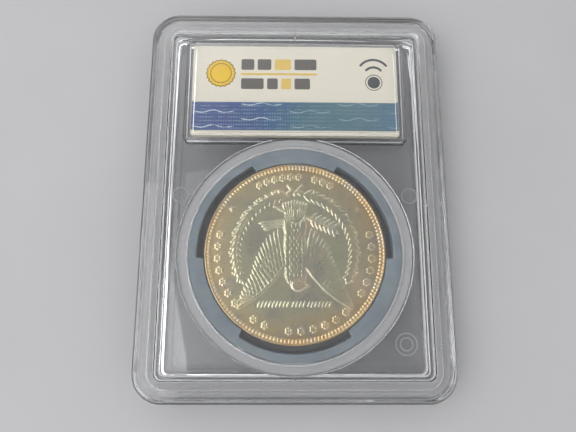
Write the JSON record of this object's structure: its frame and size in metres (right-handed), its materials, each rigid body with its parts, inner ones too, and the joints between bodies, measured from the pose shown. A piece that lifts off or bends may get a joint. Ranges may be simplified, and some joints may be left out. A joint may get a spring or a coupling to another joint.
{
  "type": "graded coin slab",
  "caption": "Clear two-shell plastic holder, rounded rectangle, with a coin gripped in a pronged gasket ring and a printed tag label in a pocket above it.",
  "frame": {"origin": "centre of the bounding box at the face it rests on, which is the front shell's rim", "axes": "+Z through the thickness, from the front shell to the rear shell; +Y along the long side, from the coin to the label; +X across, to the right as the label's back is read"},
  "size_m": [0.0644, 0.084, 0.008],
  "materials": {
    "clear_plastic": "clear polished polystyrene, frosted on the weld land",
    "coin_silver": "struck silver with warm toning at the rim",
    "gasket": "milky translucent blue-grey",
    "label_card": "warm white card, printed",
    "security_foil": "blue to teal foil with fine white waves",
    "tag_film": "clear film",
    "antenna_foil": "etched foil",
    "tag_chip": "black epoxy"
  },
  "bodies": {
    "root": {"rear_shell": "clear_plastic", "front_shell": "clear_plastic", "coin": "coin_silver", "coin_gasket": "gasket", "label_rear_card": "label_card", "label_front_card": "label_card", "security_strip": "security_foil", "tag_film": "tag_film", "tag_antenna": "antenna_foil", "tag_chip": "tag_chip"}
  },
  "joints": []
}
